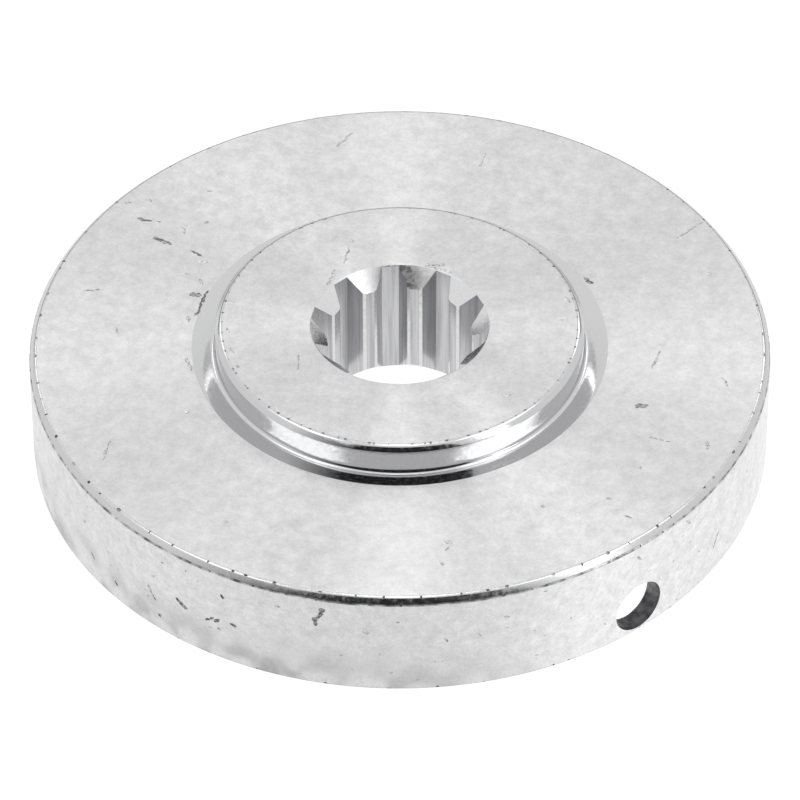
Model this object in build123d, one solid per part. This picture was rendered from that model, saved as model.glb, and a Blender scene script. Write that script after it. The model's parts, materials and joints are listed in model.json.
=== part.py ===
from build123d import *

import math
import os

# Blade flange of a brush cutter: one turned steel cup that stands on its skirt.
# A splined hub drives it, a low boss centres the blade, and the ring round the boss is
# the blade's seat. A pin put through the hole in the skirt holds it still.
# Millimetres. Origin at the middle of the rim's bottom plane, +Z along the bore to the boss.

# Cup
OUTER_DIAMETER = 50.0
SEAT_HEIGHT = 8.0            # rim bottom to blade seat
SKIRT_WALL = 1.3
WEB_THICKNESS = 3.2          # between the blade seat and the roof of the hollow
HOLLOW_FILLET = 0.8          # both inner corners of the hollow
RIM_CHAMFER = 0.4            # edge of the blade seat
RIM_FOOT_BREAK = 0.15        # both edges of the rim's bottom land

# Blade pilot boss
BOSS_DIAMETER = 24.9
BOSS_HEIGHT = 1.8            # above the blade seat
BOSS_CHAMFER = 0.35
BOSS_EDGE_ROUND = 0.4        # between the boss's top and its chamfer

# Relief groove at the boss's foot: its floor rises outwards to the blade seat
GROOVE_WIDTH = 1.6
GROOVE_DEPTH = 0.4           # at the boss's wall
GROOVE_FILLET = 0.28         # corner under the boss's wall

# Hub and its splined bore
HUB_DIAMETER = 20.0
HUB_RECESS = 0.6             # hub's lower end above the rim bottom
HUB_FOOT_BREAK = 0.4
SPLINE_TEETH = 10
SPLINE_MAJOR_DIAMETER = 12.0
SPLINE_MINOR_DIAMETER = 9.8
SPLINE_TOOTH_TIP = 0.9       # width of a tooth's tip land
SPLINE_ROOT_LAND = 1.15      # width of the land between two teeth
SPLINE_FIRST_TOOTH = 6.0     # degrees from +X
BORE_CHAMFER_ANGLE = 45.0    # from the bore's axis, down to the tooth tips

# Lock-pin hole through the skirt
PIN_HOLE_DIAMETER = 3.8
PIN_HOLE_LAND = 0.25         # metal left between the hole and the rim bottom
PIN_HOLE_AZIMUTH = -51.2     # degrees from +X

# Worked out from the sizes above
OUTER_RADIUS = OUTER_DIAMETER / 2
SKIRT_INNER_RADIUS = OUTER_RADIUS - SKIRT_WALL
HOLLOW_ROOF = SEAT_HEIGHT - WEB_THICKNESS
BOSS_RADIUS = BOSS_DIAMETER / 2
BOSS_TOP = SEAT_HEIGHT + BOSS_HEIGHT
GROOVE_OUTER_RADIUS = BOSS_RADIUS + GROOVE_WIDTH
GROOVE_FLOOR = SEAT_HEIGHT - GROOVE_DEPTH
HUB_RADIUS = HUB_DIAMETER / 2
MAJOR_RADIUS = SPLINE_MAJOR_DIAMETER / 2
MINOR_RADIUS = SPLINE_MINOR_DIAMETER / 2
BORE_CHAMFER_DEPTH = (MAJOR_RADIUS - MINOR_RADIUS) / math.tan(math.radians(BORE_CHAMFER_ANGLE))
PIN_HOLE_HEIGHT = PIN_HOLE_LAND + PIN_HOLE_DIAMETER / 2


def turned_blank():
    """The turned cup with a solid hub: its half section spun about the bore's axis."""
    # Each corner of the half section is (radius, height, fillet), outwards under the cup
    # and back to the axis over its top.
    corners = [
        (0, HUB_RECESS, 0),
        (HUB_RADIUS - HUB_FOOT_BREAK, HUB_RECESS, 0),
        (HUB_RADIUS, HUB_RECESS + HUB_FOOT_BREAK, 0),
        (HUB_RADIUS, HOLLOW_ROOF, HOLLOW_FILLET),
        (SKIRT_INNER_RADIUS, HOLLOW_ROOF, HOLLOW_FILLET),
        (SKIRT_INNER_RADIUS, RIM_FOOT_BREAK, 0),
        (SKIRT_INNER_RADIUS + RIM_FOOT_BREAK, 0, 0),
        (OUTER_RADIUS - RIM_FOOT_BREAK, 0, 0),
        (OUTER_RADIUS, RIM_FOOT_BREAK, 0),
        (OUTER_RADIUS, SEAT_HEIGHT - RIM_CHAMFER, 0),
        (OUTER_RADIUS - RIM_CHAMFER, SEAT_HEIGHT, 0),
        (GROOVE_OUTER_RADIUS, SEAT_HEIGHT, 0),
        (BOSS_RADIUS, GROOVE_FLOOR, GROOVE_FILLET),
        (BOSS_RADIUS, BOSS_TOP - BOSS_CHAMFER, 0),
        (BOSS_RADIUS - BOSS_CHAMFER, BOSS_TOP, BOSS_EDGE_ROUND),
        (0, BOSS_TOP, 0),
    ]
    points = [(radius, height) for radius, height, fillet in corners]
    fillets = [fillet for radius, height, fillet in corners]
    with BuildPart() as blank:
        with BuildSketch(Plane.XZ):
            with BuildLine():
                FilletPolyline(*points, radius=fillets, close=True)
            make_face()
        revolve(axis=Axis.Z)
    return blank.part


def on_circle(radius, angle):
    """Point at an angle in radians on a circle about the bore's axis."""
    return (radius * math.cos(angle), radius * math.sin(angle))


def spline_bore():
    """Cutter for the bore: root lands and tooth tips as arcs, with straight flanks between."""
    pitch = 2 * math.pi / SPLINE_TEETH
    tip_half = math.asin(SPLINE_TOOTH_TIP / 2 / MINOR_RADIUS)
    root_half = math.asin(SPLINE_ROOT_LAND / 2 / MAJOR_RADIUS)
    with BuildPart() as cutter:
        with BuildSketch(Plane.XY.offset(HUB_RECESS)):
            with BuildLine():
                for tooth in range(SPLINE_TEETH):
                    tip = math.radians(SPLINE_FIRST_TOOTH) + tooth * pitch
                    root = tip + pitch / 2
                    tip_start = on_circle(MINOR_RADIUS, tip - tip_half)
                    tip_end = on_circle(MINOR_RADIUS, tip + tip_half)
                    root_start = on_circle(MAJOR_RADIUS, root - root_half)
                    root_end = on_circle(MAJOR_RADIUS, root + root_half)
                    next_tip_start = on_circle(MINOR_RADIUS, tip + pitch - tip_half)
                    ThreePointArc(tip_start, on_circle(MINOR_RADIUS, tip), tip_end)
                    Line(tip_end, root_start)
                    ThreePointArc(root_start, on_circle(MAJOR_RADIUS, root), root_end)
                    Line(root_end, next_tip_start)
            make_face()
        extrude(amount=BOSS_TOP - HUB_RECESS)
    return cutter.part


def bore_chamfers():
    """Cutters for the two conical chamfers that bevel the ends of the teeth."""
    with BuildPart() as cutter:
        with Locations((0, 0, BOSS_TOP)):
            Cone(MINOR_RADIUS, MAJOR_RADIUS, BORE_CHAMFER_DEPTH, align=(Align.CENTER, Align.CENTER, Align.MAX))
        with Locations((0, 0, HUB_RECESS)):
            Cone(MAJOR_RADIUS, MINOR_RADIUS, BORE_CHAMFER_DEPTH, align=(Align.CENTER, Align.CENTER, Align.MIN))
    return cutter.part


def pin_hole():
    """Cutter for the radial hole: from inside the hollow out through the skirt."""
    inside = Vector(SKIRT_INNER_RADIUS - SKIRT_WALL, 0, PIN_HOLE_HEIGHT)
    start = inside.rotate(Axis.Z, PIN_HOLE_AZIMUTH)
    outward = Vector(1, 0, 0).rotate(Axis.Z, PIN_HOLE_AZIMUTH)
    with BuildPart() as cutter:
        with BuildSketch(Plane(origin=start, z_dir=outward)):
            Circle(PIN_HOLE_DIAMETER / 2)
        extrude(amount=3 * SKIRT_WALL)
    return cutter.part


blade_flange = turned_blank() - spline_bore() - bore_chamfers() - pin_hole()

os.makedirs("parts", exist_ok=True)
export_step(blade_flange, "parts/blade_flange.step")
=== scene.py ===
"""Studio picture of a brush cutter's blade flange: one steel cup, turned, broached, drilled and plated.

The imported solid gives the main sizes. The flange is turned here once more from its half section, with the
edge breaks, dents and finishes that show close up, and that piece stands for the plain solid.
Sizes are millimetres until a mesh is made from them, and angles are degrees.
"""

import json
import logging
import math
import random
from dataclasses import dataclass, field
from enum import Enum, auto
from itertools import groupby
from typing import Any

import bpy
from bpy.types import Material, Mesh, NodeSocket as Socket, NodeTree as Tree, Object
from mathutils import Matrix, Vector


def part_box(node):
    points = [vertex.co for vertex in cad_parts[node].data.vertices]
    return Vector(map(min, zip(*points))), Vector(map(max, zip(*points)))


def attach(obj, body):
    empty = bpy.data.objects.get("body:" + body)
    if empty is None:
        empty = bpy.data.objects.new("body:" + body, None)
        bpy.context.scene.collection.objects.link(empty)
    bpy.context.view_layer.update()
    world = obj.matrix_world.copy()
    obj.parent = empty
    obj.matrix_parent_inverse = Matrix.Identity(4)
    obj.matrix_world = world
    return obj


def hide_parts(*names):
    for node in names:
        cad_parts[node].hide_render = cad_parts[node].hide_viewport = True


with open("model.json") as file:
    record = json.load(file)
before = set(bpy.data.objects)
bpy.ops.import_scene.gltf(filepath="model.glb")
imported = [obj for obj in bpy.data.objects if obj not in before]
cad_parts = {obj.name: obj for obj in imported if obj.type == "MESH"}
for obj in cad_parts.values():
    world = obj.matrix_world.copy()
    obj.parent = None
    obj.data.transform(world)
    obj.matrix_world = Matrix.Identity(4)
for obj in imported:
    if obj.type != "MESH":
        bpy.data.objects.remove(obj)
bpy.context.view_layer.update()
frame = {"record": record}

log = logging.getLogger("blade_flange")

MM = 0.001
NODE = "blade_flange"
BODY = "root"

Colour = tuple[float, float, float, float]


def linear(hex_colour: str) -> Colour:
    """Turn an sRGB hex colour into linear red, green, blue and alpha.

    Args:
        hex_colour: Six hex digits after a hash sign.

    Returns:
        Linear channels from 0 to 1, with full alpha.
    """
    channels = [int(hex_colour[i:i + 2], 16) / 255 for i in (1, 3, 5)]
    values = [c / 12.92 if c <= 0.04045 else ((c + 0.055) / 1.055) ** 2.4 for c in channels]
    return (*values, 1.0)


def add(tree: Tree, kind: str, inputs: dict | None = None, output: int | str = 0,
        **settings: Any) -> Socket | None:
    """Add a node to a tree, with its settings, its constants and its links.

    Args:
        tree: Shader or geometry node tree.
        kind: Blender's name for the node's type.
        inputs: Values or output sockets by input name or number; a list links each of its sockets.
        output: Name or number of the output that is wanted.
        **settings: Properties of the node, set before its inputs.

    Returns:
        The wanted output, or nothing from a node without outputs.
    """
    node = tree.nodes.new(kind)
    for name, value in settings.items():
        setattr(node, name, value)
    for key, value in (inputs or {}).items():
        for item in value if isinstance(value, list) else [value]:
            if isinstance(item, Socket):
                tree.links.new(item, node.inputs[key])
            else:
                node.inputs[key].default_value = item
    return node.outputs[output] if len(node.outputs) else None


def around(azimuth: float, radius: float = 1.0, height: float = 0.0) -> Vector:
    """Point at an angle, a radius and a height about the bore's axis, in the units of the radius."""
    turn = math.radians(azimuth)
    return Vector((radius * math.cos(turn), radius * math.sin(turn), height))


def put(name: str, data: Any) -> Object:
    """Put a new object into the scene.

    Args:
        name: The object's name.
        data: Mesh, light or camera that it holds.

    Returns:
        The object, at the origin.
    """
    made = bpy.data.objects.new(name, data)
    bpy.context.scene.collection.objects.link(made)
    return made


class Face(Enum):
    """Faces that the tools left on the flange."""

    BOSS_TOP = auto()
    BOSS_EDGE = auto()
    SEAT = auto()
    RIM_CHAMFER = auto()
    RIM_EDGE = auto()
    SKIRT = auto()
    HOLLOW = auto()
    BORE_BEVEL = auto()
    BORE = auto()


@dataclass(frozen=True)
class Finish:
    """Base of the finishes: bright metal whose patterns are drawn in the part's own millimetres."""

    name: str
    base: str
    roughness: float

    def material(self) -> Material:
        """Make the finish's material.

        Returns:
            A material with one metal shader, dressed by the finish's own patterns.
        """
        made = bpy.data.materials.new(self.name)
        made.use_nodes = True
        tree = made.node_tree
        tree.nodes.clear()
        place = add(tree, "ShaderNodeTexCoord", output="Object")
        mm = add(tree, "ShaderNodeVectorMath", {0: place, "Scale": 1 / MM}, operation="SCALE")
        plain = {"Base Color": linear(self.base), "Metallic": 1.0, "Roughness": self.roughness}
        metal = add(tree, "ShaderNodeBsdfPrincipled", plain | self.patterns(tree, mm))
        add(tree, "ShaderNodeOutputMaterial", {"Surface": metal})
        return made

    def patterns(self, tree: Tree, mm: Socket) -> dict[str, Any]:
        """Draw the patterns of the finish.

        Args:
            tree: The material's node tree.
            mm: Place on the part in millimetres.

        Returns:
            What feeds each input of the metal shader, by the input's name.
        """
        raise NotImplementedError

    @property
    def made(self) -> Material:
        """The finish's material, once it has been made."""
        return bpy.data.materials[self.name]


@dataclass(frozen=True)
class BlotchedZinc(Finish):
    """Base of the matt zinc finishes.

    Plating and handling leave soft lighter and duller blotches, and the rings left by the tool stretch each
    highlight across them.
    """

    blotch: float = 1.3
    contrast: float = 0.21
    grit: float = 0.92  # how strong the finest grain is against the blotches
    uneven_gloss: float = 0.08
    stretch: float = 0.9
    quarter_turn: float = 0.25  # turns the stretch from along the rings to across them

    def patterns(self, tree: Tree, mm: Socket) -> dict[str, Any]:
        """Blotch the base colour and the gloss, and stretch the gloss across the rings.

        Args:
            tree: The material's node tree.
            mm: Place on the part in millimetres.

        Returns:
            What feeds each input of the metal shader, by the input's name.
        """
        spread = add(tree, "ShaderNodeTexNoise",
                     {"Vector": mm, "Scale": 1 / self.blotch, "Detail": 5.0, "Roughness": self.grit})
        share = add(tree, "ShaderNodeMapRange",
                    {"Value": spread, "From Min": 0.25, "From Max": 0.75, "To Min": 1 - self.contrast,
                     "To Max": 1 + self.contrast})
        gloss = add(tree, "ShaderNodeMapRange",
                    {"Value": spread, "From Min": 0.2, "From Max": 0.8,
                     "To Min": self.roughness - self.uneven_gloss,
                     "To Max": self.roughness + self.uneven_gloss})
        colour = add(tree, "ShaderNodeVectorMath", {0: linear(self.base)[:3], "Scale": share},
                     operation="SCALE")
        tangent = add(tree, "ShaderNodeTangent", direction_type="RADIAL", axis="Z")
        return {"Base Color": colour, "Roughness": gloss, "Tangent": tangent,
                "Anisotropic": self.stretch, "Anisotropic Rotation": self.quarter_turn}


@dataclass(frozen=True)
class TurnedZinc(BlotchedZinc):
    """Bright zinc over a faced steel surface: light fans out from the bore over its fine rings."""

    ring_pitch: float = 0.16  # real feed is about 0.08, drawn coarser so that it shows
    ring_run: float = 1.6  # how far a ring's scratch runs before it fades
    ring_height: float = 0.0016
    mean_radius: float = 18.0

    def patterns(self, tree: Tree, mm: Socket) -> dict[str, Any]:
        """Add rings to the blotches.

        Args:
            tree: The material's node tree.
            mm: Place on the part in millimetres.

        Returns:
            What feeds each input of the metal shader, by the input's name.
        """
        flat = add(tree, "ShaderNodeVectorMath", {0: mm, 1: (1, 1, 0)}, operation="MULTIPLY")
        radius = add(tree, "ShaderNodeVectorMath", {0: flat}, "Value", operation="LENGTH")
        outward = add(tree, "ShaderNodeVectorMath", {0: flat}, operation="NORMALIZE")
        run = add(tree, "ShaderNodeVectorMath", {0: outward, "Scale": self.mean_radius / self.ring_run},
                  operation="SCALE")
        across = add(tree, "ShaderNodeMath", {0: radius, 1: self.ring_pitch}, operation="DIVIDE")
        lift = add(tree, "ShaderNodeCombineXYZ", {"Z": across})
        place = add(tree, "ShaderNodeVectorMath", {0: run, 1: lift}, operation="ADD")
        rings = add(tree, "ShaderNodeTexNoise", {"Vector": place, "Scale": 1.0, "Detail": 2.0})
        relief = add(tree, "ShaderNodeBump",
                     {"Height": rings, "Strength": 1.0, "Distance": self.ring_height * MM})
        return super().patterns(tree, mm) | {"Normal": relief}


@dataclass(frozen=True)
class TumbledZinc(BlotchedZinc):
    """Bright zinc over a skirt that has knocked about with others in the plating barrel.

    It is satin and mottled. Its colour also carries painted shade: darker on the left front side, and
    darker still in patches towards the foot on that side.
    """

    blotch: float = 0.8
    contrast: float = 0.26
    stretch: float = 0.5
    grain: float = 0.35
    grain_height: float = 0.003
    # Painted shade: how much darker the left front side is, then the size, share and top of the darker
    # patches at its foot, and which side is shaded
    side_shade_share: float = 0.1
    foot_shade_size: float = 1.6
    foot_shade_share: float = 0.42
    foot_shade_height: float = 4.0
    shaded_side: tuple[float, float, float] = (-0.71, -0.71, 0.0)

    def patterns(self, tree: Tree, mm: Socket) -> dict[str, Any]:
        """Add the grain, and the painted shade of one side and of its foot, to the blotches.

        Args:
            tree: The material's node tree.
            mm: Place on the part in millimetres.

        Returns:
            What feeds each input of the metal shader, by the input's name.
        """
        fed = super().patterns(tree, mm)
        # Painted shade: the colour darkens where the surface faces the shaded side, and more in patches low
        # down there
        outward = add(tree, "ShaderNodeVectorMath", {0: mm}, operation="NORMALIZE")
        facing = add(tree, "ShaderNodeVectorMath", {0: outward, 1: self.shaded_side}, "Value",
                     operation="DOT_PRODUCT")
        height = add(tree, "ShaderNodeSeparateXYZ", {0: mm}, "Z")
        side = add(tree, "ShaderNodeMapRange", {"Value": facing, "From Min": 0.3, "From Max": 0.9})
        low = add(tree, "ShaderNodeMapRange",
                  {"Value": height, "From Min": self.foot_shade_height, "From Max": 0.0})
        foot = add(tree, "ShaderNodeMath", {0: side, 1: low}, operation="MULTIPLY")
        cloud = add(tree, "ShaderNodeTexNoise", {"Vector": mm, "Scale": 1 / self.foot_shade_size, "Detail": 4.0})
        shade_patches = add(tree, "ShaderNodeMapRange", {"Value": cloud, "From Min": 0.42, "From Max": 0.6})
        painted_foot_shade = add(tree, "ShaderNodeMath", {0: foot, 1: shade_patches}, operation="MULTIPLY")
        foot_shade_factor = add(tree, "ShaderNodeMapRange",
                    {"Value": painted_foot_shade, "To Min": 1.0, "To Max": 1 - self.foot_shade_share})
        # Painted shade over the whole of the shaded side
        bright = add(tree, "ShaderNodeMapRange",
                     {"Value": facing, "From Min": 0.25, "From Max": 0.7, "To Min": 1.0,
                      "To Max": 1 - self.side_shade_share})
        share = add(tree, "ShaderNodeMath", {0: foot_shade_factor, 1: bright}, operation="MULTIPLY")
        colour = add(tree, "ShaderNodeVectorMath", {0: fed["Base Color"], "Scale": share},
                     operation="SCALE")
        grain = add(tree, "ShaderNodeTexNoise", {"Vector": mm, "Scale": 1 / self.grain, "Detail": 3.0})
        relief = add(tree, "ShaderNodeBump",
                     {"Height": grain, "Strength": 1.0, "Distance": self.grain_height * MM})
        return fed | {"Base Color": colour, "Normal": relief}


@dataclass(frozen=True)
class BurnishedZinc(Finish):
    """Bright zinc over edges and grooves cut with a polished tool: nearly a mirror, a little wavy."""

    wave: float = 2.2
    wave_height: float = 0.012
    speck: float = 0.3
    speck_roughness: float = 0.2

    def patterns(self, tree: Tree, mm: Socket) -> dict[str, Any]:
        """Add the waviness and a slightly uneven gloss.

        Args:
            tree: The material's node tree.
            mm: Place on the part in millimetres.

        Returns:
            What feeds each input of the metal shader, by the input's name.
        """
        specks = add(tree, "ShaderNodeTexNoise", {"Vector": mm, "Scale": 1 / self.speck, "Detail": 2.0})
        gloss = add(tree, "ShaderNodeMapRange",
                    {"Value": specks, "From Min": 0.4, "From Max": 0.8, "To Min": self.roughness,
                     "To Max": self.roughness + self.speck_roughness})
        waves = add(tree, "ShaderNodeTexNoise", {"Vector": mm, "Scale": 1 / self.wave, "Detail": 2.0})
        relief = add(tree, "ShaderNodeBump",
                     {"Height": waves, "Strength": 1.0, "Distance": self.wave_height * MM})
        return {"Roughness": gloss, "Normal": relief}


@dataclass(frozen=True)
class BroachedSteel(Finish):
    """Steel scraped by a broach, under thin zinc: fine streaks along the bore, darker than the faces."""

    streak: float = 0.22  # real ones are about 0.05, drawn coarser so that they show
    streak_run: float = 7.0
    dark_colour: str = "#aeaeb1"
    streak_height: float = 0.003

    def patterns(self, tree: Tree, mm: Socket) -> dict[str, Any]:
        """Add the streaks to the colour and the relief.

        Args:
            tree: The material's node tree.
            mm: Place on the part in millimetres.

        Returns:
            What feeds each input of the metal shader, by the input's name.
        """
        fine = (1 / self.streak, 1 / self.streak, 1 / self.streak_run)
        along = add(tree, "ShaderNodeVectorMath", {0: mm, 1: fine}, operation="MULTIPLY")
        streaks = add(tree, "ShaderNodeTexNoise", {"Vector": along, "Scale": 1.0, "Detail": 3.0})
        share = add(tree, "ShaderNodeMapRange", {"Value": streaks, "From Min": 0.4, "From Max": 0.7})
        ends = {6: linear(self.base), 7: linear(self.dark_colour)}
        colour = add(tree, "ShaderNodeMix", {"Factor": share} | ends, 2, data_type="RGBA")
        relief = add(tree, "ShaderNodeBump",
                     {"Height": streaks, "Strength": 1.0, "Distance": self.streak_height * MM})
        return {"Base Color": colour, "Normal": relief}


@dataclass(frozen=True)
class BareSteel(Finish):
    """Steel that the plating hardly reached or that a knock has dulled: dark, rough and cloudy."""

    cloud: float = 0.5
    dark_colour: str = "#4a4a4c"

    def patterns(self, tree: Tree, mm: Socket) -> dict[str, Any]:
        """Add the clouds.

        Args:
            tree: The material's node tree.
            mm: Place on the part in millimetres.

        Returns:
            What feeds each input of the metal shader, by the input's name.
        """
        clouds = add(tree, "ShaderNodeTexNoise", {"Vector": mm, "Scale": 1 / self.cloud, "Detail": 3.0})
        share = add(tree, "ShaderNodeMapRange", {"Value": clouds, "From Min": 0.35, "From Max": 0.7})
        ends = {6: linear(self.base), 7: linear(self.dark_colour)}
        return {"Base Color": add(tree, "ShaderNodeMix", {"Factor": share} | ends, 2, data_type="RGBA")}


@dataclass(frozen=True)
class Corner:
    """A corner of the half section, and the face that starts there.

    Args:
        radius: From the bore's axis.
        height: Above the rim's bottom.
        face: Face between this corner and the next.
        rounding: Radius of the corner itself.
        row: Longest row of mesh on the face.
        edge: Face of the rounded corner itself, where it isn't the face that starts there.
    """

    radius: float
    height: float
    face: Face
    rounding: float = 0.0
    row: float = 1.0
    edge: Face | None = None

    @property
    def place(self) -> Vector:
        """The corner as a point of the section's plane."""
        return Vector((self.radius, self.height))


@dataclass
class Section:
    """Half section of the turned cup: its sizes, and the line that is spun about the bore's axis."""

    outer_radius: float
    seat_height: float
    boss_radius: float
    boss_top: float
    rim_chamfer: float = 0.4
    rim_round: float = 0.3  # between the seat and the chamfer
    rim_break: float = 0.24  # between the chamfer and the skirt
    foot_break: float = 0.15
    skirt_wall: float = 1.3
    web: float = 3.2
    hollow_fillet: float = 0.8
    boss_chamfer: float = 0.35
    boss_round: float = 0.4
    chamfer_break: float = 0.1
    groove_fillet: float = 0.28
    groove_width: float = 1.6
    groove_depth: float = 0.4
    groove_break: float = 0.06
    hub_radius: float = 10.0
    hub_recess: float = 0.6
    hub_break: float = 0.4
    tip_radius: float = 4.9  # bore over the tips of the spline's teeth
    bevel_radius: float = 6.06  # outer edge of the bevel at both ends of the bore
    mouth_break: float = 0.08
    round_step: float = 9.0  # turn of one row round a rounded corner
    hidden_step: float = 22.5  # the same, underneath

    def corners(self) -> list[Corner]:
        """List the corners, from the mouth of the bore outwards over the top and back underneath.

        Returns:
            Corners in order round the section.
        """
        bevel = self.bevel_radius - self.tip_radius
        chamfer = self.boss_radius - self.boss_chamfer
        edge = self.boss_top - self.boss_chamfer
        rim = self.outer_radius - self.rim_chamfer
        foot = self.seat_height - self.rim_chamfer
        wall = self.outer_radius - self.skirt_wall
        roof = self.seat_height - self.web
        floor = self.seat_height - self.groove_depth
        groove = self.boss_radius + self.groove_width
        return [
            Corner(self.bevel_radius, self.boss_top, Face.BOSS_TOP, self.mouth_break, 1.0),
            Corner(chamfer, self.boss_top, Face.BOSS_EDGE, self.boss_round, 0.3),
            Corner(self.boss_radius, edge, Face.BOSS_EDGE, self.chamfer_break, 0.3),
            Corner(self.boss_radius, floor, Face.BOSS_EDGE, self.groove_fillet, 0.3),
            Corner(groove, self.seat_height, Face.SEAT, self.groove_break, 0.8),
            Corner(rim, self.seat_height, Face.RIM_CHAMFER, self.rim_round, 0.2),
            Corner(self.outer_radius, foot, Face.SKIRT, self.rim_break, 0.8, Face.RIM_EDGE),
            Corner(self.outer_radius, 0, Face.HOLLOW, self.foot_break, 0.8),
            Corner(wall, 0, Face.HOLLOW, self.foot_break, 2.0),
            Corner(wall, roof, Face.HOLLOW, self.hollow_fillet, 4.0),
            Corner(self.hub_radius, roof, Face.HOLLOW, self.hollow_fillet, 2.0),
            Corner(self.hub_radius, self.hub_recess, Face.HOLLOW, self.hub_break, 2.0),
            Corner(self.bevel_radius, self.hub_recess, Face.BORE_BEVEL, self.mouth_break, 1.0),
            Corner(self.tip_radius, self.hub_recess + bevel, Face.BORE, 0.0, 2.0),
            Corner(self.tip_radius, self.boss_top - bevel, Face.BORE_BEVEL, 0.0, 1.0),
        ]

    def turned_corner(self, before: Corner, corner: Corner, after: Corner) -> list[Vector]:
        """Round one corner.

        Args:
            before: The corner ahead of it.
            corner: The corner to round.
            after: The corner behind it.

        Returns:
            Points of its arc, or the corner alone where it is sharp.
        """
        if not corner.rounding:
            return [corner.place]
        arrive = (corner.place - before.place).normalized()
        leave = (after.place - corner.place).normalized()
        turn = math.atan2(arrive.x * leave.y - arrive.y * leave.x, arrive.dot(leave))
        start = corner.place - arrive * corner.rounding * math.tan(abs(turn) / 2)
        side = math.copysign(corner.rounding, turn)
        centre = start + Vector((-arrive.y, arrive.x)) * side
        step = self.hidden_step if corner.face is Face.HOLLOW else self.round_step
        steps = max(2, math.ceil(math.degrees(abs(turn)) / step))
        return [centre + Matrix.Rotation(turn * k / steps, 2) @ (start - centre) for k in range(steps + 1)]

    def outline(self) -> tuple[list[Vector], list[Face]]:
        """Draw the section's line.

        Returns:
            Points round the section, the first repeated at the end, and the face of each span between two.
        """
        corners = self.corners()
        befores = corners[-1:] + corners[:-1]
        afters = corners[1:] + corners[:1]
        arcs = [self.turned_corner(*trio) for trio in zip(befores, corners, afters)]
        points: list[Vector] = []
        faces: list[Face] = []
        for corner, arc, next_arc in zip(corners, arcs, arcs[1:] + arcs[:1]):
            run = next_arc[0] - arc[-1]
            rows = max(1, math.ceil(run.length / corner.row))
            spaced = [arc[-1] + run * k / rows for k in range(1, rows)]
            points += arc + spaced
            faces += [corner.edge or corner.face] * (len(arc) - 1) + [corner.face] * (len(spaced) + 1)
        return points + points[:1], faces


class Ground(Enum):
    """Surface that a knock lies on."""

    SEAT = auto()
    BOSS = auto()
    WALL = auto()


@dataclass(frozen=True)
class Knock:
    """One dent or scratch from handling.

    Args:
        ground: Surface that it lies on.
        azimuth: Angle about the bore's axis.
        place: Radius on the seat or the boss, height on the wall.
        length: Along the mark.
        lean: Angle from the way round the flange towards the rim, or on the wall towards the top.
        width: Across the mark.
        depth: Into the metal.
    """

    ground: Ground
    azimuth: float
    place: float
    length: float
    lean: float
    width: float = 0.16
    depth: float = 0.06


def knocks_on(ground: Ground, *marks: tuple[float, ...]) -> list[Knock]:
    """List the knocks on one surface; a mark is a knock's sizes in order, from its azimuth on."""
    return [Knock(ground, *mark) for mark in marks]


SEAT_KNOCKS = knocks_on(
    Ground.SEAT,
    # A trail of short dashes from the rim to the groove, left of the boss
    (141.9, 23.9, 0.5, 52), (139.1, 23.0, 0.6, 82, 0.14), (143.6, 21.8, 1.0, 66, 0.16, 0.08),
    (142.7, 20.9, 0.4, 67), (146.7, 19.5, 1.4, 84, 0.22, 0.08), (141.4, 19.0, 0.7, -58, 0.14),
    (146.0, 16.8, 0.8, -72, 0.16, 0.08), (147.8, 15.9, 0.6, 58, 0.14), (153.5, 16.2, 0.4, -85),
    (154.3, 15.1, 0.7, -69), (160.2, 14.8, 0.7, 78, 0.24, 0.08),
    # Along the groove's outer edge
    (162.6, 14.1, 2.6, -2, 0.16, 0.09), (169.6, 14.5, 0.5, -27, 0.2), (-171.9, 14.3, 1.3, -11, 0.14),
    (26.2, 14.3, 0.8, -19, 0.3, 0.09),
    # Elsewhere on the seat
    (165.1, 21.7, 1.0, 69, 0.12), (136.5, 18.3, 0.25, 47), (129.3, 20.7, 0.4, 57, 0.12),
    (100.1, 21.8, 1.8, -42, 0.12), (-154.6, 15.7, 0.25, -34, 0.2), (-151.6, 22.1, 1.9, 39, 0.1),
    (175.8, 19.2, 0.4, -11, 0.1), (-5.9, 17.3, 1.8, 15, 0.13), (-21.6, 17.3, 0.6, -68, 0.4, 0.09),
    (-10.3, 22.1, 1.0, -36, 0.16), (-29.3, 19.8, 1.4, 82, 0.1), (-26.6, 22.7, 0.9, -33, 0.16),
    (30.1, 23.1, 2.5, 75, 0.09), (73.0, 20.1, 1.5, -90, 0.1), (18.3, 22.3, 0.3, -25),
    (-80.8, 19.7, 0.4, 40, 0.28), (-81.5, 20.3, 0.4, -71, 0.14), (-82.8, 21.6, 0.4, 79, 0.2),
    (-49.0, 22.7, 0.4, 56, 0.2), (-59.8, 18.6, 0.2, 67, 0.16), (-38.0, 20.1, 0.2, 52, 0.16),
    (-48.4, 20.6, 0.3, 62, 0.14), (-123.4, 20.9, 0.3, -23, 0.16),
)

BOSS_KNOCKS = knocks_on(
    Ground.BOSS,
    # A dashed scratch that runs into the bore, and two gouges behind it
    (116.7, 7.9, 1.6, -52, 0.12), (134.3, 6.6, 1.5, -30, 0.14), (111.0, 9.1, 0.25, 78),
    (67.9, 6.45, 1.3, -26, 0.2), (62.2, 6.2, 1.4, -10, 0.14), (-150.5, 7.8, 1.4, 33, 0.12),
    # Nicks inside the edge
    (168.4, 11.6, 0.4, -70), (-177.2, 11.6, 0.5, -24), (-167.1, 11.6, 0.6, -16),
    (-158.8, 11.6, 0.25, -32), (11.8, 11.6, 0.6, -21, 0.14), (2.1, 11.0, 0.25, -30),
    (-45.8, 10.2, 0.6, 4, 0.14),
)

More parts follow.
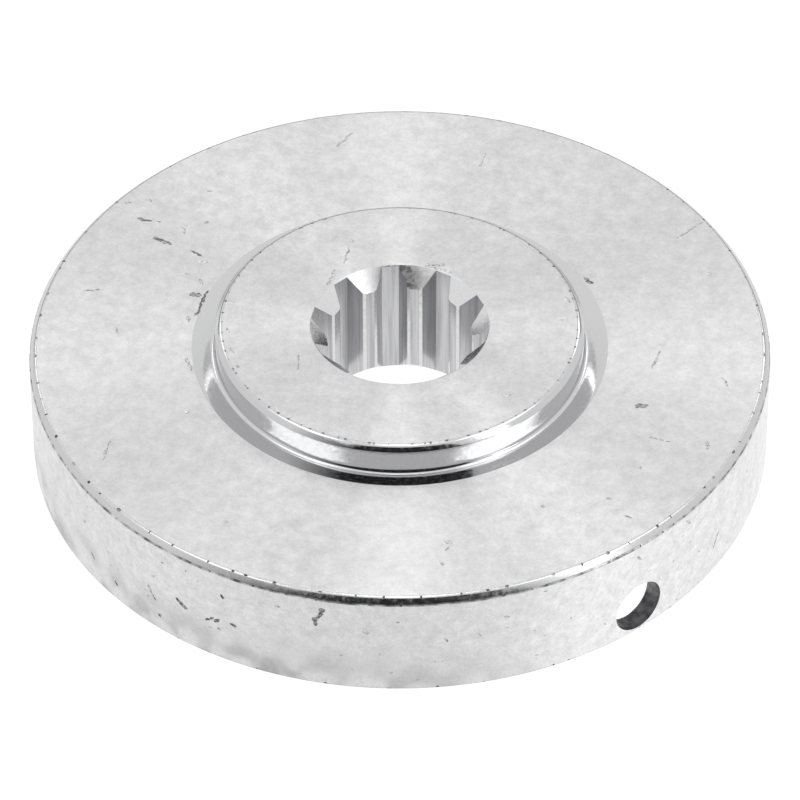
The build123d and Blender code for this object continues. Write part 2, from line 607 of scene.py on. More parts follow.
WALL_KNOCKS = knocks_on(
    Ground.WALL,
    (-102.5, 6.1, 1.7, 71, 0.3, 0.1), (-119.6, 3.3, 1.1, 12, 0.22, 0.09),
    (-116.0, 3.5, 0.4, -3, 0.26, 0.09), (-118.5, 2.7, 0.3, 3, 0.16),
    (-125.1, 3.5, 1.0, -40, 0.28, 0.09), (-117.8, 5.7, 0.3, -61, 0.2, 0.08),
    (-108.6, 6.3, 0.25, 5, 0.2), (-95.4, 5.1, 0.4, -44, 0.3), (-146.8, 4.6, 0.35, 13, 0.2),
    (-144.6, 2.0, 0.75, -40), (-129.3, 1.3, 0.35, -49, 0.2), (-33.1, 2.6, 1.2, 59, 0.14),
    (-40.8, 6.8, 0.6, -64, 0.14), (-51.4, 6.6, 0.4, -48, 0.16), (-78.4, 4.5, 0.4, -71, 0.14),
    (-73.9, 5.7, 0.3, -49, 0.16), (-83.3, 4.3, 0.3, -46, 0.16), (-139.1, 1.6, 0.7, -32, 0.14),
    (-130.9, 3.0, 1.2, -52, 0.12),
)


@dataclass(frozen=True)
class Nicks:
    """Small nicks spread along a turned edge.

    Args:
        radius: Of the edge.
        height: Of the edge.
        count: How many there are right round.
        size: Half of the longest nick.
    """

    radius: float
    height: float
    count: int
    size: float


class NodePiece:
    """A piece that a geometry node tree makes from a source mesh; its sizes are the tree's named inputs."""

    def start(self, name: str, sizes: dict[str, Any]) -> None:
        """Start the tree.

        Args:
            name: The tree's name.
            sizes: Value of each named input: a number, or an object to work with.
        """
        kinds = {int: "NodeSocketInt", float: "NodeSocketFloat", Object: "NodeSocketObject"}
        self.tree = bpy.data.node_groups.new(name, "GeometryNodeTree")
        self.sizes = sizes
        self.tree.interface.new_socket("Source", in_out="INPUT", socket_type="NodeSocketGeometry")
        for label, value in sizes.items():
            self.tree.interface.new_socket(label, in_out="INPUT", socket_type=kinds[type(value)])
        self.tree.interface.new_socket("Made", in_out="OUTPUT", socket_type="NodeSocketGeometry")
        self.given = add(self.tree, "NodeGroupInput").node.outputs

    def add(self, kind: str, inputs: dict | None = None, output: int | str = 0,
            **settings: Any) -> Socket | None:
        """Add a node to this tree."""
        return add(self.tree, kind, inputs, output, **settings)

    def bake(self, made: Socket, source: Mesh, name: str) -> Object:
        """Run the tree on a source mesh and keep the result as a plain mesh.

        Args:
            made: The tree's last geometry.
            source: Mesh that the tree starts from.
            name: Name of the finished object.

        Returns:
            An object at the origin, with no modifier.
        """
        self.add("NodeGroupOutput", {"Made": made})
        piece = put(name, source)
        modifier = piece.modifiers.new(self.tree.name, "NODES")
        modifier.node_group = self.tree
        for item in self.tree.interface.items_tree:
            if item.name in self.sizes:
                modifier[item.identifier] = self.sizes[item.name]
        graph = bpy.context.evaluated_depsgraph_get()
        mesh = bpy.data.meshes.new_from_object(piece.evaluated_get(graph), depsgraph=graph)
        piece.modifiers.remove(modifier)
        piece.data = mesh
        mesh.name = name
        bpy.data.meshes.remove(source)
        return piece


@dataclass
class Flange(NodePiece):
    """The blade flange: a turned cup with a broached bore, a drilled skirt and the knocks of handling."""

    section: Section
    pin_place: Vector
    pin_axis: Vector
    pin_radius: float
    teeth: int = 10
    first_tooth: float = 6.0
    tooth_tip: float = 0.9
    root_land: float = 1.15
    root_radius: float = 5.985
    space_start: float = 4.3  # where a tooth space's cutter starts, inside the tips
    break_lead: float = 0.25  # how far inside the tips an edge break's cutter starts
    break_reach: float = 0.12  # how far the break runs down a tooth's flank
    break_inset: float = 0.02  # by which its narrow end stays clear of the flanks
    edge_flare: float = 1.3  # how fast the breaks of the teeth's edges widen
    broach_reach: float = 1.2  # how far up a broach runs, against the boss's top
    drill_reach: float = 3.0  # the drill's length, against the skirt's wall
    drill_sides: int = 96
    columns: int = 480
    spin_radius: float = 15.0
    sharp_edge: float = 24.0
    seed: int = 7
    pit_size: float = 0.16  # half of the longest pit
    pit_density: float = 0.12  # pits on each square millimetre of skirt
    pit_gap: float = 2.2  # least distance between two pits, against their size
    # Least and most half sizes of a pit or a nick, on three axes, against its size
    pit_shares: tuple[tuple[float, ...], ...] = ((0.25, 0.2, 0.1), (1.0, 0.6, 0.25))
    nick_shares: tuple[tuple[float, ...], ...] = ((0.25, 0.2, 0.2), (0.8, 1.0, 0.7))
    punches: int = 4  # different shapes of dent
    punch_rows: int = 2  # how finely a punch is made
    ragged: float = 0.7  # how far a dent's shape strays from round
    lump: float = 1.7  # lumps across a punch
    lump_shift: float = 7.3  # between the lumps of one punch and those of the next
    bite: float = 0.32  # about how long each bite of a knock is
    bite_reach: float = 0.8  # half a bite's length, against its share of the knock
    bite_sink: float = 1.5  # half a bite's height, against the knock's depth
    knocks: list[Knock] = field(default_factory=lambda: SEAT_KNOCKS + BOSS_KNOCKS + WALL_KNOCKS)
    # Dull pale marks in the zinc, darker ones where a knock reaches the steel, and the hole's dark wall
    knock_finish: Finish = BareSteel("scuffed_zinc", "#dadadb", 0.45, cloud=0.24, dark_colour="#a2a2a4")
    deep_finish: Finish = BareSteel("knocked_steel", "#acacae", 0.45, cloud=0.3, dark_colour="#747476")
    drilled_finish: Finish = BareSteel("drilled_steel", "#7a7a7c", 0.35)
    deep: float = 0.08  # a knock at least this deep reaches the steel
    finishes: dict[Face, Finish] = field(default_factory=lambda: {
        Face.BOSS_TOP: TurnedZinc("turned_zinc_boss", "#dadada", 0.34, mean_radius=9.0),
        Face.BOSS_EDGE: BurnishedZinc("burnished_zinc", "#cdcdce", 0.07),
        Face.SEAT: TurnedZinc("turned_zinc_seat", "#dedede", 0.36),
        Face.RIM_CHAMFER: BurnishedZinc("burnished_zinc_rim", "#cdcdce", 0.14),
        # A worn line under the chamfer, dark in patches
        Face.RIM_EDGE: BareSteel("worn_zinc_edge", "#cfcfd0", 0.35, cloud=0.7, dark_colour="#626264"),
        # Both tumbled finishes hold painted shade: their colour darkens on the left front side and in
        # patches towards its foot
        Face.SKIRT: TumbledZinc("tumbled_zinc_with_painted_shade", "#e4e4e4", 0.42),
        Face.HOLLOW: TumbledZinc("hollow_zinc_with_painted_shade", "#d2d2d3", 0.45),
        Face.BORE_BEVEL: BurnishedZinc("burnished_zinc_bevel", "#dcdcdd", 0.2),
        Face.BORE: BroachedSteel("broached_steel", "#c8c8ca", 0.24),
    })

    def section_mesh(self) -> tuple[Mesh, list[Face]]:
        """Draw the section as a line of edges, laid out for the spin.

        Returns:
            The line, with each point's number kept as its station, and the face of each span.
        """
        points, faces = self.section.outline()
        mesh = bpy.data.meshes.new("half_section")
        # The spin takes x as the way out from its circle and y as the way down
        spread = [((p.x - self.spin_radius) * MM, -p.y * MM, 0) for p in points]
        mesh.from_pydata(spread, [(k, k + 1) for k in range(len(points) - 1)], [])
        station = mesh.attributes.new("station", "FLOAT", "POINT")
        station.data.foreach_set("value", [float(k) for k in range(len(points))])
        return mesh, faces

    def knock_points(self) -> list[Object]:
        """Set out the bites of each knock as points that carry a turn, a size and whether they are deep.

        Returns:
            Two objects whose points get a dent each; bites that overlap aren't in the same one.
        """
        chance = random.Random(self.seed)
        places, turns, sizes, deep = ([], []), ([], []), ([], []), ([], [])
        for knock in self.knocks:
            outward = around(knock.azimuth)
            round_way = around(knock.azimuth + 90)
            lean = math.radians(knock.lean)
            if knock.ground is Ground.WALL:
                normal, rise = outward, Vector((0, 0, 1))
                place = around(knock.azimuth, self.section.outer_radius, knock.place)
            else:
                normal, rise = Vector((0, 0, 1)), outward
                top = self.section.seat_height if knock.ground is Ground.SEAT else self.section.boss_top
                place = around(knock.azimuth, knock.place, top)
            along = round_way * math.cos(lean) + rise * math.sin(lean)
            across = normal.cross(along)
            count = max(1, round(knock.length / self.bite))
            # Each bite strays a little and differs in depth, turn and width
            for k in range(count):
                shift = along * knock.length * ((k + 0.5) / count - 0.5)
                shift += across * knock.width * chance.uniform(-0.4, 0.4)
                lift = normal * knock.depth * chance.uniform(0.2, 0.9)
                twist = Matrix.Rotation(chance.uniform(-0.5, 0.5), 3, "Z")
                turn = Matrix((along, across, normal)).transposed() @ twist
                width = knock.width * chance.uniform(0.5, 0.9)
                half = (self.bite_reach * knock.length / count, width, knock.depth * self.bite_sink)
                places[k % 2].append((place + shift + lift) * MM)
                turns[k % 2].extend(turn.to_euler())
                sizes[k % 2].extend(side * MM for side in half)
                deep[k % 2].append(knock.depth >= self.deep)
        stands = []
        for k in range(2):
            mesh = bpy.data.meshes.new("knock_points")
            mesh.from_pydata(places[k], [], [])
            mesh.attributes.new("turn", "FLOAT_VECTOR", "POINT").data.foreach_set("vector", turns[k])
            mesh.attributes.new("size", "FLOAT_VECTOR", "POINT").data.foreach_set("vector", sizes[k])
            mesh.attributes.new("deep", "BOOLEAN", "POINT").data.foreach_set("value", deep[k])
            stands.append(put("knock_points", mesh))
        return stands

    def tree_sizes(self) -> dict[str, int | float]:
        """Work out the sizes that the shape tree takes, in metres and radians.

        Returns:
            Each size by the name of its input.
        """
        tip_half = math.asin(self.tooth_tip / 2 / self.section.tip_radius)
        mouth_half = math.pi / self.teeth - tip_half
        mouth_depth = self.section.tip_radius * math.cos(mouth_half)
        mouth_width = 2 * self.section.tip_radius * math.sin(mouth_half)
        taper = (mouth_width - self.root_land) / (self.root_radius - mouth_depth)
        space_depth = self.root_radius - self.space_start
        break_depth = self.break_lead + self.break_reach
        break_root = mouth_width - taper * self.break_reach - self.break_inset
        return {
            "Columns": self.columns,
            "Spin Radius": self.spin_radius * MM,
            "Tooth Spaces": self.teeth,
            "First Space": math.radians(self.first_tooth + 180 / self.teeth),
            "Space Depth": space_depth * MM,
            "Space Middle": (self.root_radius + self.space_start) / 2 * MM,
            "Space Mouth": (self.root_land + taper * space_depth) * MM,
            "Space Root": self.root_land * MM,
            "Break Depth": break_depth * MM,
            "Break Middle": (mouth_depth + (self.break_reach - self.break_lead) / 2) * MM,
            "Break Mouth": (break_root + 2 * break_depth * self.edge_flare) * MM,
            "Break Root": break_root * MM,
            "Bore Length": self.section.boss_top * self.broach_reach * MM,
            "Pin Hole Radius": self.pin_radius * MM,
            "Pin Hole Length": self.section.skirt_wall * self.drill_reach * MM,
            "Sharp Edge": math.radians(self.sharp_edge),
            "Pits": self.pit_density / MM ** 2,
            "Pit Gap": self.pit_size * self.pit_gap * MM,
        }

    def build(self) -> Object:
        """Turn, broach, drill and knock the flange.

        Returns:
            The finished piece.
        """
        for finish in [*self.finishes.values(), self.knock_finish, self.deep_finish, self.drilled_finish]:
            finish.material()
        section_line, faces = self.section_mesh()
        bites = self.knock_points()
        self.start("turned_broached_drilled",
                   self.tree_sizes() | {"Knocks": bites[0], "Other Knocks": bites[1]})
        blank = cut = self.spin()
        cutters = [
            self.tooth_spaces("Space", self.finishes[Face.BORE].made),
            self.tooth_spaces("Break", self.finishes[Face.BORE_BEVEL].made),
            self.pin_hole(),
            self.dents("Knocks"),
            self.dents("Other Knocks"),
            self.pits(blank, faces),
        ]
        cutters += [self.edge_nicks(nicks) for nicks in self.edge_wear()]
        for cutter in cutters:
            cut = self.add("GeometryNodeMeshBoolean", {"Mesh 1": cut, "Mesh 2": cutter},
                           operation="DIFFERENCE", solver="MANIFOLD")
        piece = self.bake(self.dress(cut, faces), section_line, "zinc_plated_flange")
        for stand in bites:
            bpy.data.objects.remove(stand)
        return piece

    def spin(self) -> Socket:
        """Spin the section about the bore's axis.

        Returns:
            The turned blank, its faces numbered by their span of the section, from 1.
        """
        line = self.add("GeometryNodeMeshToCurve", {"Mesh": self.given["Source"]})
        circle = self.add("GeometryNodeCurvePrimitiveCircle",
                          {"Resolution": self.given["Columns"], "Radius": self.given["Spin Radius"]})
        spun = self.add("GeometryNodeCurveToMesh", {"Curve": circle, "Profile Curve": line})
        station = self.add("GeometryNodeInputNamedAttribute", {"Name": "station"}, data_type="FLOAT")
        middle = self.add("ShaderNodeMath", {0: station, 1: 1.0}, operation="ADD")
        numbered = self.add("GeometryNodeStoreNamedAttribute",
                            {"Geometry": spun, "Name": "span", "Value": middle}, data_type="FLOAT",
                            domain="FACE")
        return self.add("GeometryNodeMergeByDistance", {"Geometry": numbered, "Distance": 1e-6})

    def tooth_spaces(self, cut: str, material: Material) -> Socket:
        """Make a broach: one tapered prism for each space between two teeth.

        Args:
            cut: First word of the prism's sizes: the space itself, or the break of its edges.
            material: Material that it leaves.

        Returns:
            The cutters.
        """
        taper = self.add("GeometryNodeCurvePrimitiveQuadrilateral",
                         {"Height": self.given[f"{cut} Depth"], "Bottom Width": self.given[f"{cut} Mouth"],
                          "Top Width": self.given[f"{cut} Root"], "Offset": 0.0}, mode="TRAPEZOID")
        top = self.add("ShaderNodeCombineXYZ", {"Z": self.given["Bore Length"]})
        path = self.add("GeometryNodeCurvePrimitiveLine", {"Start": (0, 0, -MM), "End": top})
        prism = self.add("GeometryNodeCurveToMesh",
                         {"Curve": path, "Profile Curve": taper, "Fill Caps": True})
        out = self.add("ShaderNodeCombineXYZ", {"X": self.given[f"{cut} Middle"]})
        # The prism's narrow side faces +Y until it is turned outwards
        placed = self.add("GeometryNodeTransform",
                          {"Geometry": prism, "Translation": out, "Rotation": (0, 0, -math.pi / 2)})
        dressed = self.add("GeometryNodeSetMaterial", {"Geometry": placed, "Material": material})
        spaces = self.given["Tooth Spaces"]
        stand = self.add("GeometryNodeMeshLine", {"Count": spaces, "Offset": (0, 0, 0)})
        index = self.add("GeometryNodeInputIndex")
        pitch = self.add("ShaderNodeMath", {0: math.tau, 1: spaces}, operation="DIVIDE")
        turn = self.add("ShaderNodeMath", {0: index, 1: pitch, 2: self.given["First Space"]},
                        operation="MULTIPLY_ADD")
        spread = self.add("ShaderNodeCombineXYZ", {"Z": turn})
        copies = self.add("GeometryNodeInstanceOnPoints",
                          {"Points": stand, "Instance": dressed, "Rotation": spread})
        return self.add("GeometryNodeRealizeInstances", {"Geometry": copies})

    def pin_hole(self) -> Socket:
        """Make the drill for the lock-pin hole.

        Returns:
            The cutter.
        """
        drill = self.add("GeometryNodeMeshCylinder",
                         {"Vertices": self.drill_sides, "Radius": self.given["Pin Hole Radius"],
                          "Depth": self.given["Pin Hole Length"]})
        turn = self.pin_axis.to_track_quat("Z", "Y").to_euler()
        placed = self.add("GeometryNodeTransform",
                          {"Geometry": drill, "Translation": self.pin_place * MM, "Rotation": turn})
        return self.add("GeometryNodeSetMaterial",
                        {"Geometry": placed, "Material": self.drilled_finish.made})

    def stamp(self, points: Socket, turn: Socket, size: Socket) -> Socket:
        """Put one of a few ragged punches on each point.

        Args:
            points: Where the punches go.
            turn: Turn of each punch.
            size: Half sizes of each punch.

        Returns:
            The cutters.
        """
        rack = []
        for k in range(self.punches):
            ball = self.add("GeometryNodeMeshIcoSphere", {"Radius": 1.0, "Subdivisions": self.punch_rows})
            place = self.add("GeometryNodeInputPosition")
            lumps = self.add("ShaderNodeTexNoise",
                             {"Vector": place, "W": self.lump_shift * k, "Scale": self.lump, "Detail": 1.0},
                             noise_dimensions="4D")
            swell = self.add("ShaderNodeMapRange",
                             {"Value": lumps, "To Min": -self.ragged, "To Max": self.ragged})
            shift = self.add("ShaderNodeVectorMath", {0: place, "Scale": swell}, operation="SCALE")
            ragged = self.add("GeometryNodeSetPosition", {"Geometry": ball, "Offset": shift})
            rack.append(self.add("GeometryNodeGeometryToInstance", {0: [ragged]}))
        punches = self.add("GeometryNodeJoinGeometry", {0: rack})
        which = self.add("FunctionNodeRandomValue", {4: 0, 5: self.punches - 1, 8: self.seed}, 2,
                         data_type="INT")
        copies = self.add("GeometryNodeInstanceOnPoints",
                          {"Points": points, "Instance": punches, "Pick Instance": True,
                           "Instance Index": which, "Rotation": turn, "Scale": size})
        real = self.add("GeometryNodeRealizeInstances", {"Geometry": copies})
        plain = self.add("GeometryNodeRemoveAttribute", {"Geometry": real, "Name": "span"})
        worn = self.add("GeometryNodeSetMaterial", {"Geometry": plain, "Material": self.knock_finish.made})
        deep = self.add("GeometryNodeInputNamedAttribute", {"Name": "deep"}, data_type="BOOLEAN")
        return self.add("GeometryNodeSetMaterial",
                        {"Geometry": worn, "Selection": deep, "Material": self.deep_finish.made})

    def dents(self, knocks: str) -> Socket:
        """Make a punch for each bite of the knocks.

        Args:
            knocks: Name of the input that holds the points.

        Returns:
            The cutters.
        """
        points = self.add("GeometryNodeObjectInfo", {"Object": self.given[knocks]}, "Geometry")
        turn, size = (self.add("GeometryNodeInputNamedAttribute", {"Name": name}, data_type="FLOAT_VECTOR")
                      for name in ("turn", "size"))
        return self.stamp(points, turn, size)

    def edge_wear(self) -> list[Nicks]:
        """List the edges that are nicked.

        Returns:
            The nicks of both edges of the rim's chamfer, of the rim's bottom and of the boss.
        """
        size = self.section
        return [
            Nicks(size.outer_radius - size.rim_chamfer, size.seat_height, 72, 0.21),
            Nicks(size.outer_radius, size.seat_height - size.rim_chamfer, 110, 0.15),
            Nicks(size.outer_radius, 0.1, 44, 0.2),
            Nicks(size.boss_radius - size.boss_chamfer - 0.1, size.boss_top, 80, 0.15),
        ]

    def edge_nicks(self, nicks: Nicks) -> Socket:
        """Spread small punches along an edge, each in its own share of the turn.

        Args:
            nicks: The edge and its nicks.

        Returns:
            The cutters.
        """
        seed = round(nicks.radius * nicks.count)
        index = self.add("GeometryNodeInputIndex")
        # A nick keeps clear of both ends of its share
        shift = self.add("FunctionNodeRandomValue", {2: 0.1, 3: 0.9, 8: seed}, 1, data_type="FLOAT")
        place = self.add("ShaderNodeMath", {0: index, 1: shift}, operation="ADD")
        angle = self.add("ShaderNodeMath", {0: place, 1: math.tau / nicks.count}, operation="MULTIPLY")
        turn = self.add("ShaderNodeCombineXYZ", {"Z": angle})
        start = (nicks.radius * MM, 0, nicks.height * MM)
        spread = self.add("ShaderNodeVectorRotate", {"Vector": start, "Angle": angle},
                          rotation_type="Z_AXIS")
        bare = self.add("GeometryNodePoints", {"Count": nicks.count, "Position": spread})
        points = self.add("GeometryNodeStoreNamedAttribute",
                          {"Geometry": bare, "Name": "deep", "Value": True}, data_type="BOOLEAN",
                          domain="POINT")
        least, most = (tuple(nicks.size * MM * share for share in row) for row in self.nick_shares)
        size = self.add("FunctionNodeRandomValue", {0: least, 1: most, 8: seed + 1},
                        data_type="FLOAT_VECTOR")
        return self.stamp(points, turn, size)

    def within(self, spans: list[int]) -> Socket:
        """Tell whether a face belongs to a run of the section's spans.

        Args:
            spans: The run's spans, in order.

        Returns:
            True on the faces that were spun from them.
        """
        span = self.add("GeometryNodeInputNamedAttribute", {"Name": "span"}, data_type="FLOAT")
        middle, reach = (spans[0] + spans[-1] + 1) / 2 + 1, (spans[-1] - spans[0] + 1) / 2
        return self.add("FunctionNodeCompare", {0: span, 1: middle, 12: reach}, data_type="FLOAT",
                        operation="EQUAL")

    def pits(self, blank: Socket, faces: list[Face]) -> Socket:
        """Scatter shallow pits over the skirt.

        Args:
            blank: The turned blank.
            faces: Face of each span of the section.

        Returns:
            The cutters.
        """
        spans = [k for k, face in enumerate(faces) if face is Face.SKIRT]
        skirt = self.within(spans)
        spots = self.add("GeometryNodeDistributePointsOnFaces",
                         {"Mesh": blank, "Selection": skirt, "Distance Min": self.given["Pit Gap"],
                          "Density Max": self.given["Pits"], "Seed": self.seed},
                         distribute_method="POISSON")
        least, most = (tuple(self.pit_size * MM * share for share in row) for row in self.pit_shares)
        size = self.add("FunctionNodeRandomValue", {0: least, 1: most, 8: self.seed},
                        data_type="FLOAT_VECTOR")
        return self.stamp(spots, spots.node.outputs["Rotation"], size)

    def dress(self, cut: Socket, faces: list[Face]) -> Socket:
        """Smooth the flange between its sharp edges and give each turned face its finish.

        Args:
            cut: The cut flange.
            faces: Face of each span of the section.

        Returns:
            The dressed flange.
        """
        angle = self.add("GeometryNodeInputMeshEdgeAngle")
        bent = self.add("FunctionNodeCompare", {0: angle, 1: self.given["Sharp Edge"]}, data_type="FLOAT",
                        operation="GREATER_THAN")
        # A cutter's faces have no span, so an edge between one and a turned face is the rim of a cut
        span = self.add("GeometryNodeInputNamedAttribute", {"Name": "span"}, data_type="FLOAT")
        turned = self.add("ShaderNodeMath", {0: span, 1: 0.5}, operation="GREATER_THAN")
        share = self.add("GeometryNodeFieldOnDomain", {0: turned}, data_type="FLOAT", domain="FACE")
        rim = self.add("FunctionNodeCompare", {0: share, 1: 0.5, 12: 0.4}, data_type="FLOAT",
                       operation="EQUAL")
        sharp = self.add("FunctionNodeBooleanMath", {0: bent, 1: rim}, operation="OR")
        smooth = self.add("GeometryNodeSetShadeSmooth", {"Geometry": cut, "Shade Smooth": True},
                          domain="FACE")
        creased = self.add("GeometryNodeSetShadeSmooth",
                           {"Geometry": smooth, "Selection": sharp, "Shade Smooth": False}, domain="EDGE")
        dressed = self.add("GeometryNodeRealizeInstances", {"Geometry": creased})
        for face, run in groupby(range(len(faces)), faces.__getitem__):
            dressed = self.add("GeometryNodeSetMaterial",
                               {"Geometry": dressed, "Selection": self.within(list(run)),
                                "Material": self.finishes[face].made})
        return dressed


@dataclass(frozen=True)
class Softbox:
    """One soft light.

    Args:
        name: The light's name.
        azimuth: Angle about the bore's axis.
        elevation: Angle above the table.
        size: Width and height.
        glow: Brightness of its face, against 1 for the table.
    """

    name: str
    azimuth: float
    elevation: float
    size: tuple[float, float]
    glow: float


@dataclass
class Studio:
    """White table, soft light and the camera.

    Args:
        seat_height: Height of the seat, whose middle the camera is set up from.
    """

    seat_height: float
    distance: float = 421.0
    elevation: float = 41.725
    tilt: float = 0.518  # aims lower than the seat's middle by this angle
    roll: float = -0.235
    lens: float = 280.73
    sensor: float = 36.0
    nearest: float = 10.0  # nothing nearer to the camera shows
    table: float = 6000.0
    table_gloss: float = 0.08
    table_roughness: float = 0.1
    wall_light: float = 0.95
    ceiling_light: float = 1.0
    wall_top: float = 0.5  # sines of the elevations between which the wall turns into the ceiling
    ceiling_edge: float = 0.72
    card_distance: float = 800.0
    card_azimuth: float = -89.5
    card_elevation: float = 31.5
    card_size: tuple[float, float] = (1320.0, 800.0)
    card_glow: tuple[float, float] = (0.025, 0.025)
    card_steps: int = 24  # straight pieces of its round top
    fade_half: float = 200.0
    fade_glow: tuple[float, float] = (0.9, 0.1)
    fade_turn: float = 50.0  # to the left of the dark card
    fade_gap: float = 20.0  # behind the dark card
    back_half: tuple[float, float] = (900.0, 130.0)
    back_glow: tuple[float, float] = (0.3, 0.3)
    back_azimuth: float = 90.0
    back_elevation: float = 11.0
    lamp_distance: float = 900.0
    softboxes: tuple[Softbox, ...] = (
        # For the chamfers and the skirt, at the front right
        Softbox("softbox_front_right", -31.0, 40.0, (230.0, 230.0), 1.35),
        Softbox("softbox_low_right", -31.0, 6.0, (240.0, 160.0), 5.5),
        # Narrow ones that fan out over the turned rings, to the sides and to the front and back
        Softbox("softbox_back_right", 57.0, 34.0, (110.0, 200.0), 3.0),
        Softbox("softbox_back_left", 123.0, 34.0, (110.0, 200.0), 2.0),
        Softbox("softbox_above", 90.0, 80.0, (130.0, 240.0), 4.8),
        # Broad ones, high on both sides, for the left and the right of the seat
        Softbox("softbox_left", -176.0, 63.0, (460.0, 240.0), 1.6),
        Softbox("softbox_right", 0.0, 62.0, (500.0, 300.0), 1.9),
    )

    def stand(self) -> None:
        """Set up the table, the light and the camera."""
        half = self.table / 2
        # Glossy and lit through, so that nothing casts a shadow on it
        self.plate("white_table", self.oblong(half, -half, half), (1.0, 1.0), self.table_gloss)
        self.sky()
        self.cards()
        for softbox in self.softboxes:
            self.lamp(softbox)
        self.camera()

    @staticmethod
    def oblong(half_width: float, low: float, high: float) -> list[tuple[float, float]]:
        """Corners of a plate that is as wide to the left as to the right."""
        return [(-half_width, low), (half_width, low), (half_width, high), (-half_width, high)]

    def plate(self, name: str, ring: list[tuple[float, float]], glow: tuple[float, float],
              gloss: float = 0.0) -> Object:
        """Make a flat stage plate with one plain shader.

        Args:
            name: Name of the plate and its material.
            ring: Corners of the plate.
            glow: White light that it gives off at its left and its right end.
            gloss: Share of the light that it mirrors.

        Returns:
            The plate, at the origin and facing up.
        """
        mesh = bpy.data.meshes.new(name)
        mesh.from_pydata([(x * MM, y * MM, 0) for x, y in ring], [], [range(len(ring))])
        material = bpy.data.materials.new(name)
        material.use_nodes = True
        tree = material.node_tree
        tree.nodes.clear()
        place = add(tree, "ShaderNodeTexCoord", output="Object")
        along = add(tree, "ShaderNodeSeparateXYZ", {0: place}, "X")
        left, right = (side(x for x, y in ring) * MM for side in (min, max))
        strength = add(tree, "ShaderNodeMapRange",
                       {"Value": along, "From Min": left, "From Max": right, "To Min": glow[0],
                        "To Max": glow[1]})
        light = add(tree, "ShaderNodeEmission", {"Strength": strength})
        mirror = add(tree, "ShaderNodeBsdfGlossy", {"Color": (gloss, gloss, gloss, 1),
                                                    "Roughness": self.table_roughness})
        both = add(tree, "ShaderNodeAddShader", {0: light, 1: mirror})
        add(tree, "ShaderNodeOutputMaterial", {"Surface": both})
        mesh.materials.append(material)
        plate = put(name, mesh)
        return plate

    def sky(self) -> None:
        """Light the room softly, with pale walls and a lighter ceiling."""
        world = bpy.data.worlds.new("soft_room")
        world.use_nodes = True
        tree = world.node_tree
        tree.nodes.clear()
        way = add(tree, "ShaderNodeTexCoord", output="Generated")
        height = add(tree, "ShaderNodeSeparateXYZ", {0: way}, "Z")
        strength = add(tree, "ShaderNodeMapRange",
                       {"Value": height, "From Min": self.wall_top, "From Max": self.ceiling_edge,
                        "To Min": self.wall_light, "To Max": self.ceiling_light},
                       interpolation_type="SMOOTHSTEP")
        light = add(tree, "ShaderNodeBackground", {"Color": linear("#ffffff"), "Strength": strength})
        add(tree, "ShaderNodeOutputWorld", {"Surface": light})
        bpy.context.scene.world = world

    def aim(self, thing: Object, azimuth: float, elevation: float, distance: float) -> None:
        """Stand a thing off from the flange, facing it.

        Args:
            thing: Plate or light.
            azimuth: Angle about the bore's axis.
            elevation: Angle above the table.
            distance: From the middle of the seat.
        """
        level = math.radians(elevation)
        way = around(azimuth, math.cos(level), math.sin(level))
        thing.location = (way * distance + Vector((0, 0, self.seat_height))) * MM
        thing.rotation_euler = way.to_track_quat("Z", "Y").to_euler()

    def cards(self) -> None:
        """Stand a dark card with a round top behind the camera, for the front edges to reflect.

        Another fades from it into the room on the left, and a low grey one behind the flange draws a line
        along its far edges.
        """
        wide, high = self.card_size
        steps = [math.pi * k / self.card_steps for k in range(self.card_steps + 1)]
        dome = [(wide / 2 * math.cos(t), high * math.sin(t) - high / 2) for t in steps]
        dark = self.plate("dark_card", dome, self.card_glow)
        self.aim(dark, self.card_azimuth, self.card_elevation, self.card_distance)
        fade = self.oblong(self.fade_half, -high / 2, high / 4)
        fading = self.plate("fading_card", fade, self.fade_glow)
        self.aim(fading, self.card_azimuth - self.fade_turn, self.card_elevation,
                 self.card_distance + self.fade_gap)
        half_width, half_height = self.back_half
        low = self.plate("back_card", self.oblong(half_width, -half_height, half_height), self.back_glow)
        self.aim(low, self.back_azimuth, self.back_elevation, self.lamp_distance)

    def lamp(self, softbox: Softbox) -> None:
        """Stand a soft light.

        Args:
            softbox: The light's sizes and place.
        """
        data = bpy.data.lights.new(softbox.name, "AREA")
        data.shape = "RECTANGLE"
        data.size, data.size_y = (side * MM for side in softbox.size)
        data.energy = softbox.glow * math.pi * data.size * data.size_y
        light = put(softbox.name, data)
        self.aim(light, softbox.azimuth, softbox.elevation, self.lamp_distance)

    def camera(self) -> None:
        """Stand the camera in front, looking down on the seat."""
        level = math.radians(self.elevation)
        data = bpy.data.cameras.new("camera")
        data.lens = self.lens
        data.sensor_width = self.sensor
        data.clip_start = self.nearest * MM
        camera = put("camera", data)
        camera.location = (around(-90, math.cos(level), math.sin(level)) * self.distance
                           + Vector((0, 0, self.seat_height))) * MM
        look = Matrix.Rotation(math.radians(90 - self.elevation - self.tilt), 3, "X")
        camera.rotation_euler = (look @ Matrix.Rotation(math.radians(self.roll), 3, "Z")).to_euler()
        bpy.context.scene.camera = camera
        bpy.context.scene.view_settings.view_transform = "Standard"


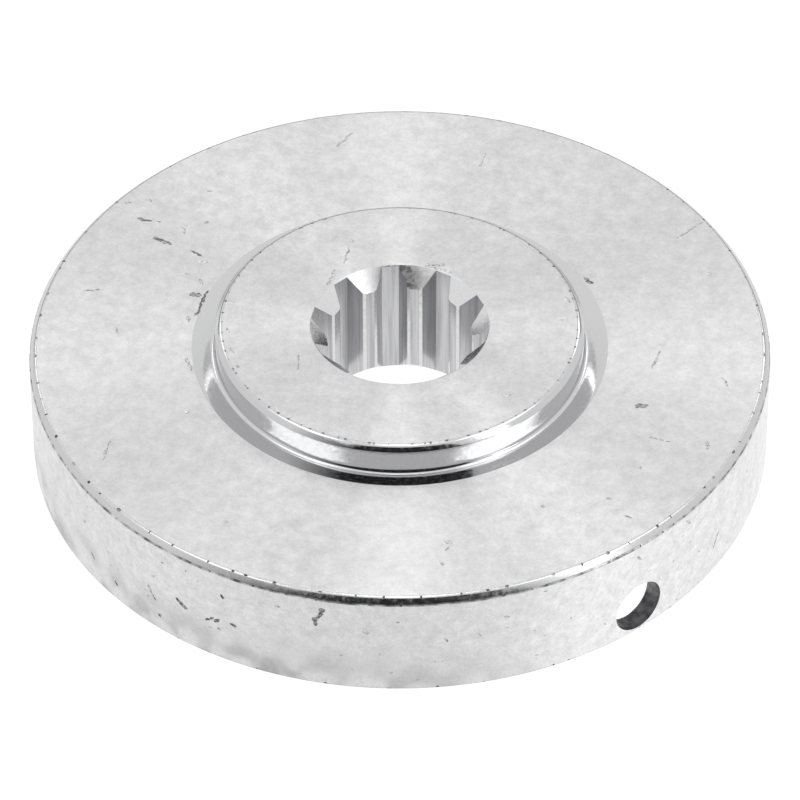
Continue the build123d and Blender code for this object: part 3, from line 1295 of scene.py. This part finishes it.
def main() -> None:
    """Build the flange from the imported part's sizes, and the studio round it."""
    logging.basicConfig(level=logging.INFO, format="%(message)s")
    low, high = (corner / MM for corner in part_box(NODE))
    mounts = {mount["name"]: mount for mount in frame["record"]["mounts"]}
    seat_height = mounts["blade_seat"]["pos_m"][2] / MM
    pin = mounts["lock_pin_hole"]
    section = Section(outer_radius=(high.x - low.x) / 2, seat_height=seat_height,
                      boss_radius=mounts["blade_pilot"]["dims"]["r_mm"], boss_top=high.z)
    flange = Flange(section, pin_place=Vector(pin["pos_m"]) / MM, pin_axis=Vector(pin["axis"]),
                    pin_radius=pin["dims"]["r_mm"])
    piece = flange.build()
    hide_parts(NODE)
    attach(piece, BODY)
    triangles = sum(len(face.vertices) - 2 for face in piece.data.polygons)
    log.info("%s: %d triangles, %d finishes", piece.name, triangles, len(piece.data.materials))
    Studio(seat_height).stand()


if __name__ == "__main__":
    main()
